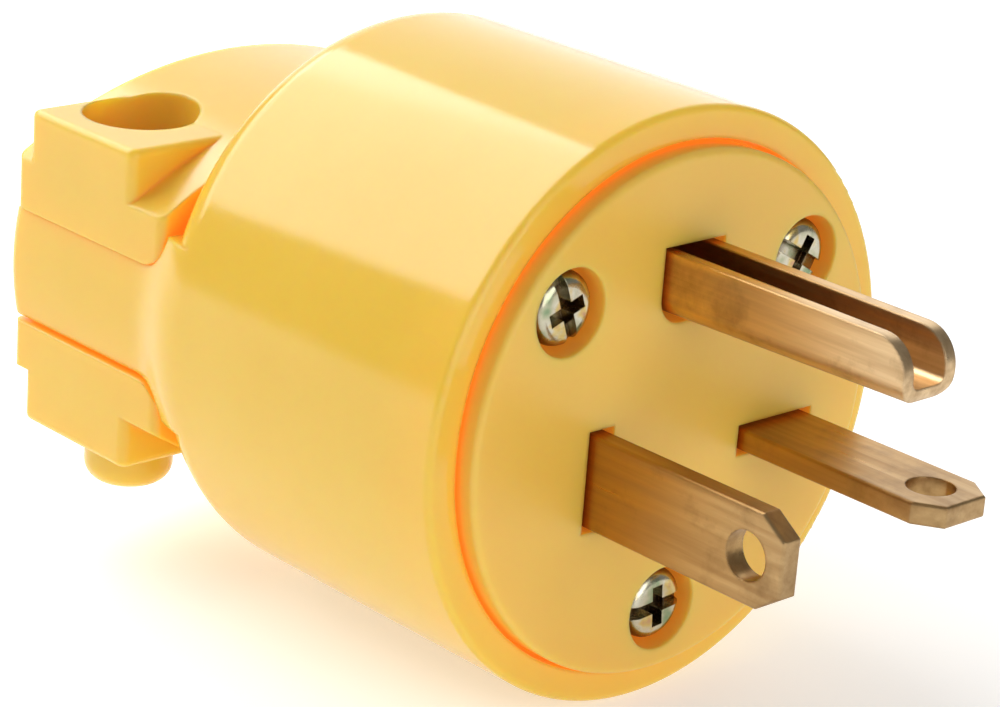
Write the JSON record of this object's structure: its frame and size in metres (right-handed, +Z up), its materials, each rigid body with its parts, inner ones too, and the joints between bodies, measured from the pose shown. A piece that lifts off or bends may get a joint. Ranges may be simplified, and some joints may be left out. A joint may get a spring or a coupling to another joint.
{
  "type": "straight-blade attachment plug",
  "caption": "Rewireable yellow grounding plug with flat blades at right angles, a U-shaped ground pin, screw terminals and a screw-down cord clamp.",
  "frame": {"origin": "centre of the blade face, on the flat face that meets the receptacle", "axes": "+X right seen from the blade side, +Y from the blades to the cord, +Z up with the ground pin on top"},
  "size_m": [0.0408, 0.0685, 0.0408],
  "materials": {
    "shell_yellow": "glossy yellow vinyl",
    "face_yellow": "satin yellow nylon",
    "clamp_yellow": "glossy yellow nylon",
    "carrier_black": "matte black moulding",
    "blade_brass": "worn brass",
    "pin_brass": "worn brass",
    "insert_brass": "turned brass",
    "line_screw_brass": "bright brass",
    "ground_screw_green": "green lacquered steel",
    "zinc_steel": "zinc plate with a faint yellow-green passivate"
  },
  "bodies": {
    "shell": {"body_shell": "shell_yellow", "upper_cord_clamp": "clamp_yellow", "shell_insert_left": "insert_brass", "shell_insert_right": "insert_brass", "shell_insert_bottom": "insert_brass"},
    "face_assembly": {"face_plate": "face_yellow", "terminal_carrier": "carrier_black", "blade_vertical": "blade_brass", "blade_horizontal": "blade_brass", "ground_pin": "pin_brass"},
    "lower_clamp": {"lower_cord_clamp": "clamp_yellow", "clamp_insert_left": "insert_brass", "clamp_insert_right": "insert_brass"},
    "face_screw_left": {"face_screw_left": "zinc_steel"},
    "face_screw_right": {"face_screw_right": "zinc_steel"},
    "face_screw_bottom": {"face_screw_bottom": "zinc_steel"},
    "wire_plate_vertical": {"wire_plate_vertical": "zinc_steel"},
    "terminal_screw_vertical": {"terminal_screw_vertical": "line_screw_brass"},
    "wire_plate_horizontal": {"wire_plate_horizontal": "zinc_steel"},
    "terminal_screw_horizontal": {"terminal_screw_horizontal": "line_screw_brass"},
    "wire_plate_ground": {"wire_plate_ground": "zinc_steel"},
    "terminal_screw_ground": {"terminal_screw_ground": "ground_screw_green"},
    "clamp_screw_left": {"clamp_screw_left": "zinc_steel"},
    "clamp_screw_right": {"clamp_screw_right": "zinc_steel"}
  },
  "joints": [
    {"name": "face_assembly_pull", "type": "slide", "parent": "shell", "child": "face_assembly", "axis": [0, -1, 0], "range_m": [0, 0.024]},
    {"name": "face_screw_left_turn", "type": "hinge", "parent": "face_assembly", "child": "face_screw_left", "pos_m": [-0.0107, 0.005, 0.009], "axis": [0, -1, 0], "continuous": true},
    {"name": "face_screw_right_turn", "type": "hinge", "parent": "face_assembly", "child": "face_screw_right", "pos_m": [0.0107, 0.005, 0.009], "axis": [0, -1, 0], "continuous": true},
    {"name": "face_screw_bottom_turn", "type": "hinge", "parent": "face_assembly", "child": "face_screw_bottom", "pos_m": [0, 0.005, -0.0136], "axis": [0, -1, 0], "continuous": true},
    {"name": "wire_plate_vertical_lift", "type": "slide", "parent": "face_assembly", "child": "wire_plate_vertical", "axis": [-1, 0, 0], "range_m": [-0.0002, 0.00235]},
    {"name": "terminal_screw_vertical_turn", "type": "hinge", "parent": "wire_plate_vertical", "child": "terminal_screw_vertical", "pos_m": [-0.00805, 0.0136, -0.00297], "axis": [-1, 0, 0], "range_deg": [-95, 1080]},
    {"name": "wire_plate_horizontal_lift", "type": "slide", "parent": "face_assembly", "child": "wire_plate_horizontal", "axis": [0, 0, -1], "range_m": [-0.0002, 0.00235]},
    {"name": "terminal_screw_horizontal_turn", "type": "hinge", "parent": "wire_plate_horizontal", "child": "terminal_screw_horizontal", "pos_m": [0.00935, 0.0136, -0.00398], "axis": [0, 0, -1], "range_deg": [-95, 1080]},
    {"name": "wire_plate_ground_lift", "type": "slide", "parent": "face_assembly", "child": "wire_plate_ground", "axis": [0, 0, 1], "range_m": [-0.0002, 0.00235]},
    {"name": "terminal_screw_ground_turn", "type": "hinge", "parent": "wire_plate_ground", "child": "terminal_screw_ground", "pos_m": [0, 0.0136, 0.0084], "axis": [0, 0, 1], "range_deg": [-95, 1080]},
    {"name": "lower_clamp_lift", "type": "slide", "parent": "shell", "child": "lower_clamp", "axis": [0, 0, -1], "range_m": [-0.0002, 0.0031]},
    {"name": "clamp_screw_left_turn", "type": "hinge", "parent": "shell", "child": "clamp_screw_left", "pos_m": [-0.0129, 0.0416, 0.006], "axis": [0, 0, 1], "range_deg": [-95, 1440]},
    {"name": "clamp_screw_right_turn", "type": "hinge", "parent": "shell", "child": "clamp_screw_right", "pos_m": [0.0129, 0.0416, 0.006], "axis": [0, 0, 1], "range_deg": [-95, 1440]}
  ],
  "couplings": [
    {"joint": "terminal_screw_vertical_turn", "follows": "wire_plate_vertical_lift", "rad_per_m": 7913.3},
    {"joint": "terminal_screw_horizontal_turn", "follows": "wire_plate_horizontal_lift", "rad_per_m": 7913.3},
    {"joint": "terminal_screw_ground_turn", "follows": "wire_plate_ground_lift", "rad_per_m": 7913.3},
    {"joint": "clamp_screw_left_turn", "follows": "lower_clamp_lift", "rad_per_m": 7913.3},
    {"joint": "clamp_screw_right_turn", "follows": "lower_clamp_lift", "rad_per_m": 7913.3}
  ]
}
